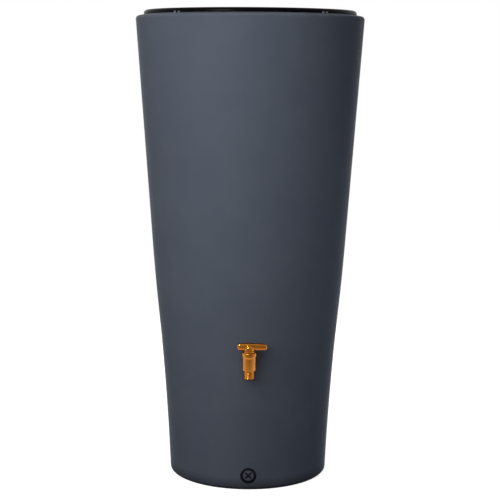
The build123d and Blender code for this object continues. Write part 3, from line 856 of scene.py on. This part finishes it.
def make_arms(rings=72, around=64):
    """The two arms as one rounded bar whose ends are rounded both ways."""
    bm = bmesh.new()
    loops = []
    for i in range(rings + 1):
        share = 0.5 - 0.5 * math.cos(math.pi * i / rings)
        x = ARM_ENDS[0] + (ARM_ENDS[1] - ARM_ENDS[0]) * share
        loops.append([bm.verts.new(point) for point in arm_loop(x, around)])
    for a, b in zip(loops, loops[1:]):
        for k in range(around):
            m = (k + 1) % around
            bm.faces.new((a[k], b[k], b[m], a[m]))
    bm.faces.new(loops[0])
    bm.faces.new(reversed(loops[-1]))
    bmesh.ops.recalc_face_normals(bm, faces=bm.faces)
    return object_from("tap_lever_casting", bm)


def make_hub(steps=16):
    """The hub: a round post with an elliptical dome."""
    dome = HUB_TOP - HUB_SHOULDER
    outline = polygon((0, HANDLE_LOW), (HUB_RADIUS, HANDLE_LOW), (HUB_RADIUS, HUB_SHOULDER))
    for k in range(1, steps + 1):
        turn = math.pi / 2 * k / steps
        outline.append(Vector((HUB_RADIUS * math.cos(turn), HUB_SHOULDER + dome * math.sin(turn))))
    return lathe("hub", outline, SMALL_AROUND, VALVE)


def softened(piece):
    """Mesh a solid evenly and soften it, so that what was joined runs together as in a casting."""
    remesh = piece.modifiers.new("even", "REMESH")
    remesh.mode = "VOXEL"
    remesh.voxel_size = CAST_GRAIN
    soften = piece.modifiers.new("soften", "SMOOTH")
    soften.factor = CAST_SOFTENING
    soften.iterations = CAST_PASSES
    applied(piece)


def make_tap_handle():
    """The cast lever: arms and domed hub run into each other, with a socket and a screw's hole."""
    handle = make_arms()
    boolean(handle, [make_hub()], "UNION")
    softened(handle)
    socket = VALVE @ Matrix.Translation((0, 0, DRIVE_HIGH - DRIVE_CUT / 2))
    cutters = [
        block((DRIVE_SIDE, DRIVE_SIDE, DRIVE_CUT), socket, DRIVE_ROUNDING),
        bar(SCREW_HOLE, HANDLE_LOW, ARM_TOP + OVERCUT, VALVE, around=32),
        bar(SCREW_HEAD_HOLE, SCREW_SEAT, ARM_TOP + OVERCUT, VALVE, around=64),
    ]
    boolean(handle, cutters, "DIFFERENCE")
    finished(handle, "tap_handle", "tap_lever")


# --- drain plug ----------------------------------------------------------------------------------
PLUG_HEAD_RADIUS, PLUG_HEAD_BACK, PLUG_FACE = 13.4 * MM, -6.5 * MM, -1.5 * MM
PLUG_SHANK_RADIUS, PLUG_SHANK_END = 10.48 * MM, -23.5 * MM
PLUG_BORE_RADIUS, PLUG_BORE_END = 7.48 * MM, -7.5 * MM
PLUG_ROUNDING = 0.9 * MM
CROSS = Vector((21.0, 4.6, 7.6)) * MM
CROSS_TURNS = math.radians(45), math.radians(135)


def plug_head():
    """The plug's disc with a cross recess in its face."""
    outline = polygon(
        (0, PLUG_HEAD_BACK),
        (PLUG_HEAD_RADIUS, PLUG_HEAD_BACK),
        (PLUG_HEAD_RADIUS, PLUG_FACE),
        (0, PLUG_FACE),
    )
    head = lathe("head", smoothed(outline, PLUG_ROUNDING), SMALL_AROUND, DRAIN)
    cutters = []
    for turn in CROSS_TURNS:
        place = Matrix.Translation((0, 0, PLUG_FACE)) @ turned_to(turn)
        cutters.append(block(CROSS, DRAIN @ place))
    boolean(head, cutters, "DIFFERENCE")
    return head


def plug_shank():
    """The hollow threaded shank, closed towards the head."""
    top = PLUG_HEAD_BACK + SEAM
    outline, shape = threaded(PLUG_SHANK_RADIUS, PLUG_SHANK_END, PLUG_HEAD_BACK)
    ring = [
        *polygon((PLUG_BORE_RADIUS, PLUG_SHANK_END)),
        *outline,
        *polygon((PLUG_SHANK_RADIUS, top), (0, top), (0, PLUG_BORE_END)),
        *polygon((PLUG_BORE_RADIUS, PLUG_BORE_END)),
    ]
    return lathe("shank", ring, THREAD_AROUND, DRAIN, shape)


def make_drain_plug():
    """The drain plug: a disc with a cross recess on a hollow threaded shank."""
    plug = joined("drain_plug_moulding", [plug_head(), plug_shank()])
    finished(plug, "drain_plug", "drain_screw")


# --- stage ---------------------------------------------------------------------------------------
def seen(n):
    """1 for rays that show the background: those from the camera, and in reflections and glass."""
    path = n.add("LightPath").outputs
    direct = n.math("MAXIMUM", path["Is Camera Ray"], path["Is Glossy Ray"])
    return n.math("MAXIMUM", direct, path["Is Transmission Ray"])


def floor_material():
    """White to the eye, with the object's shadow; darker in front where metal reflects it, and a
    plain grey for the light that it sends back."""
    n = Nodes("pale_floor")
    away = n.add("VectorMath", {0: n.coords}, operation="LENGTH").outputs["Value"]
    tone = n.ranged(n.noise(3.0, 3.0, 0.5), 0.3, 0.7, 0.995, 1.0)
    glow = n.math("MULTIPLY", n.ranged(away, *FLOOR_GLOW), tone)
    white = n.add("Emission", {"Color": (1, 1, 1, 1), "Strength": glow})
    pale = n.add("BsdfDiffuse", {"Color": (0.9, 0.9, 0.9, 1.0)})
    shown = n.add("AddShader", {0: white.outputs[0], 1: pale.outputs[0]})
    ahead = n.add("SeparateXYZ", {"Vector": n.coords}).outputs["Y"]
    dim = n.math("MULTIPLY", n.ranged(ahead, *FLOOR_FRONT, STUDIO_FRONT, 1.0), tone)
    mirrored = n.add("Emission", {"Color": (1, 1, 1, 1), "Strength": dim})
    glossy = n.add("LightPath").outputs["Is Glossy Ray"]
    view = n.add("MixShader", {0: glossy, 1: shown.outputs[0], 2: mirrored.outputs[0]})
    bounce = n.add("BsdfDiffuse", {"Color": (0.06, 0.06, 0.06, 1.0)})
    return n.show(n.add("MixShader", {0: seen(n), 1: bounce.outputs[0], 2: view.outputs[0]}))


def make_floor():
    bpy.ops.mesh.primitive_plane_add(size=FLOOR_SIDE, location=(0, 0, 0))
    floor = bpy.context.object
    floor.name = "floor"
    floor.data.materials.append(floor_material())


def make_world():
    """White where it is seen, a faint fill where it gives light. In reflections the side behind the
    camera is darker, so that metal shows its form."""
    n = Nodes("studio", "worlds", "OutputWorld")
    path = n.add("LightPath").outputs
    toward = n.add("SeparateXYZ", {"Vector": n.places["Generated"]}).outputs["Y"]
    front = n.ranged(toward, *STUDIO_TURN, STUDIO_FRONT, 1.0)
    brightness = n.math("MAXIMUM", front, path["Is Camera Ray"])
    white = n.add("Background", {"Color": (1, 1, 1, 1), "Strength": brightness})
    fill = n.add("Background", {"Color": (0.95, 0.97, 1.0, 1), "Strength": WORLD_FILL})
    shown = n.math("MAXIMUM", path["Is Camera Ray"], path["Is Glossy Ray"])
    mix = n.add("MixShader", {0: shown, 1: fill.outputs[0], 2: white.outputs[0]})
    bpy.context.scene.world = n.show(mix)


def make_lamps():
    """Large lamps that give light but aren't reflected, and a glint that is only reflected."""
    for name, azimuth, distance, height, aim, side, spread, watts, tint in [*LAMPS, GLINT]:
        lamp = bpy.data.lights.new(name, "AREA")
        lamp.shape = "SQUARE"
        lamp.size = side
        lamp.spread = math.radians(spread)
        lamp.energy = watts
        lamp.color = tint
        piece = bpy.data.objects.new(name, lamp)
        piece.visible_diffuse = name != GLINT[0]
        piece.visible_glossy = name == GLINT[0]
        bpy.context.scene.collection.objects.link(piece)
        turn = math.radians(azimuth)
        place = Vector((distance * math.sin(turn), -distance * math.cos(turn), height))
        piece.location = place
        piece.rotation_mode = "QUATERNION"
        piece.rotation_quaternion = (Vector((0, 0, aim)) - place).to_track_quat("-Z", "Y")


def make_camera():
    data = bpy.data.cameras.new("camera")
    data.lens = LENS
    data.sensor_width = SENSOR
    camera = bpy.data.objects.new("camera", data)
    bpy.context.scene.collection.objects.link(camera)
    around = math.radians(CAMERA_AZIMUTH)
    place = Vector(
        (CAMERA_DISTANCE * math.sin(around), -CAMERA_DISTANCE * math.cos(around), CAMERA_HEIGHT)
    )
    turned = Matrix.Rotation(around + math.radians(CAMERA_YAW), 4, "Z")
    tilted = Matrix.Rotation(math.radians(90 + CAMERA_PITCH), 4, "X")
    rolled = Matrix.Rotation(math.radians(CAMERA_ROLL), 4, "Z")
    camera.matrix_world = Matrix.Translation(place) @ turned @ tilted @ rolled
    bpy.context.scene.camera = camera


# --- making --------------------------------------------------------------------------------------
make_camera()
make_world()
make_lamps()
make_floor()
make_barrel()
make_bowl()
make_tap_body()
make_tap_handle()
make_drain_plug()
paint_cad_nodes()
bpy.context.scene.view_settings.view_transform = "Standard"
